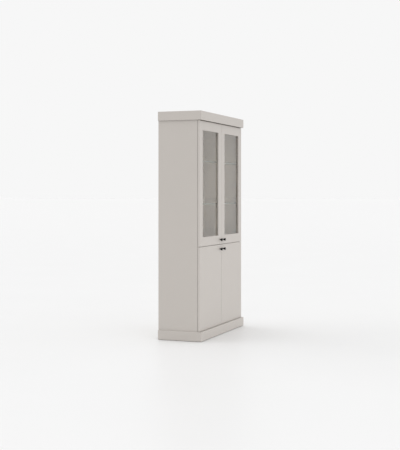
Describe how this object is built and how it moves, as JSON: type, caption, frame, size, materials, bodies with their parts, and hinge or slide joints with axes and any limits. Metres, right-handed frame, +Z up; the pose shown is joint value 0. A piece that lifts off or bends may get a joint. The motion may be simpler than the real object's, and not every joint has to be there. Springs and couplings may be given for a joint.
{
  "type": "display cabinet",
  "caption": "Tall display cabinet with glazed doors and glass shelves above plain doors, round knobs, a plinth and a square cornice.",
  "frame": {"origin": "on the floor, under the middle of the cabinet's bounding box", "axes": "+Z up, -Y out of the front of the doors, +X to the right seen from the front"},
  "size_m": [1.226, 0.438, 2.134],
  "materials": {
    "outside_paint": "medium density fibreboard with satin greige paint",
    "inside_paint": "board with matt greige paint, inside and under the cabinet",
    "glass": "clear float glass, 4 mm in the doors and 10 mm in the shelves",
    "knob_black": "satin black coated metal",
    "hinge_steel": "nickel-plated pressed steel"
  },
  "bodies": {
    "carcass": {"side_panel_left": "outside_paint", "side_panel_right": "outside_paint", "bottom_panel": "inside_paint", "middle_panel": "inside_paint", "top_panel": "inside_paint", "back_panel": "inside_paint", "upper_shelf_1": "glass", "upper_shelf_2": "glass", "lower_shelf_1": "inside_paint", "plinth_front": "outside_paint", "plinth_side_left": "outside_paint", "plinth_side_right": "outside_paint", "base_rail_front": "inside_paint", "base_rail_back": "inside_paint", "cornice_front": "outside_paint", "cornice_side_left": "outside_paint", "cornice_side_right": "outside_paint", "cornice_cover": "outside_paint", "hinge_arm_upper_left_1": "hinge_steel", "hinge_arm_upper_left_2": "hinge_steel", "hinge_arm_upper_left_3": "hinge_steel", "hinge_arm_upper_right_1": "hinge_steel", "hinge_arm_upper_right_2": "hinge_steel", "hinge_arm_upper_right_3": "hinge_steel", "hinge_arm_lower_left_1": "hinge_steel", "hinge_arm_lower_left_2": "hinge_steel", "hinge_arm_lower_right_1": "hinge_steel", "hinge_arm_lower_right_2": "hinge_steel"},
    "upper_left_door": {"upper_door_frame_left": "outside_paint", "glass_pane_left": "glass", "glazing_bead_left": "outside_paint", "knob_upper_left": "knob_black", "hinge_cup_upper_left_1": "hinge_steel", "hinge_cup_upper_left_2": "hinge_steel", "hinge_cup_upper_left_3": "hinge_steel"},
    "upper_left_links": {"hinge_link_upper_left_1": "hinge_steel", "hinge_link_upper_left_2": "hinge_steel", "hinge_link_upper_left_3": "hinge_steel"},
    "upper_right_door": {"upper_door_frame_right": "outside_paint", "glass_pane_right": "glass", "glazing_bead_right": "outside_paint", "knob_upper_right": "knob_black", "hinge_cup_upper_right_1": "hinge_steel", "hinge_cup_upper_right_2": "hinge_steel", "hinge_cup_upper_right_3": "hinge_steel"},
    "upper_right_links": {"hinge_link_upper_right_1": "hinge_steel", "hinge_link_upper_right_2": "hinge_steel", "hinge_link_upper_right_3": "hinge_steel"},
    "lower_left_door": {"lower_door_left": "outside_paint", "knob_lower_left": "knob_black", "hinge_cup_lower_left_1": "hinge_steel", "hinge_cup_lower_left_2": "hinge_steel"},
    "lower_left_links": {"hinge_link_lower_left_1": "hinge_steel", "hinge_link_lower_left_2": "hinge_steel"},
    "lower_right_door": {"lower_door_right": "outside_paint", "knob_lower_right": "knob_black", "hinge_cup_lower_right_1": "hinge_steel", "hinge_cup_lower_right_2": "hinge_steel"},
    "lower_right_links": {"hinge_link_lower_right_1": "hinge_steel", "hinge_link_lower_right_2": "hinge_steel"}
  },
  "joints": [
    {"name": "upper_left_door_hinge", "type": "hinge", "parent": "carcass", "child": "upper_left_door", "pos_m": [-0.5944, -0.1846, 1.4605], "axis": [0, 0, -1], "range_deg": [0, 105]},
    {"name": "upper_left_link_pivot", "type": "hinge", "parent": "carcass", "child": "upper_left_links", "pos_m": [-0.5666, -0.1806, 1.4605], "axis": [0, 0, 1], "range_deg": [0, 24]},
    {"name": "upper_right_door_hinge", "type": "hinge", "parent": "carcass", "child": "upper_right_door", "pos_m": [0.5944, -0.1846, 1.4605], "axis": [0, 0, 1], "range_deg": [0, 105]},
    {"name": "upper_right_link_pivot", "type": "hinge", "parent": "carcass", "child": "upper_right_links", "pos_m": [0.5666, -0.1806, 1.4605], "axis": [0, 0, -1], "range_deg": [0, 24]},
    {"name": "lower_left_door_hinge", "type": "hinge", "parent": "carcass", "child": "lower_left_door", "pos_m": [-0.5944, -0.1846, 0.4825], "axis": [0, 0, -1], "range_deg": [0, 105]},
    {"name": "lower_left_link_pivot", "type": "hinge", "parent": "carcass", "child": "lower_left_links", "pos_m": [-0.5666, -0.1806, 0.4825], "axis": [0, 0, 1], "range_deg": [0, 24]},
    {"name": "lower_right_door_hinge", "type": "hinge", "parent": "carcass", "child": "lower_right_door", "pos_m": [0.5944, -0.1846, 0.4825], "axis": [0, 0, 1], "range_deg": [0, 105]},
    {"name": "lower_right_link_pivot", "type": "hinge", "parent": "carcass", "child": "lower_right_links", "pos_m": [0.5666, -0.1806, 0.4825], "axis": [0, 0, -1], "range_deg": [0, 24]}
  ],
  "couplings": [
    {"joint": "upper_left_link_pivot", "follows": "upper_left_door_hinge", "ratio": 0.227},
    {"joint": "upper_right_link_pivot", "follows": "upper_right_door_hinge", "ratio": 0.227},
    {"joint": "lower_left_link_pivot", "follows": "lower_left_door_hinge", "ratio": 0.227},
    {"joint": "lower_right_link_pivot", "follows": "lower_right_door_hinge", "ratio": 0.227}
  ]
}
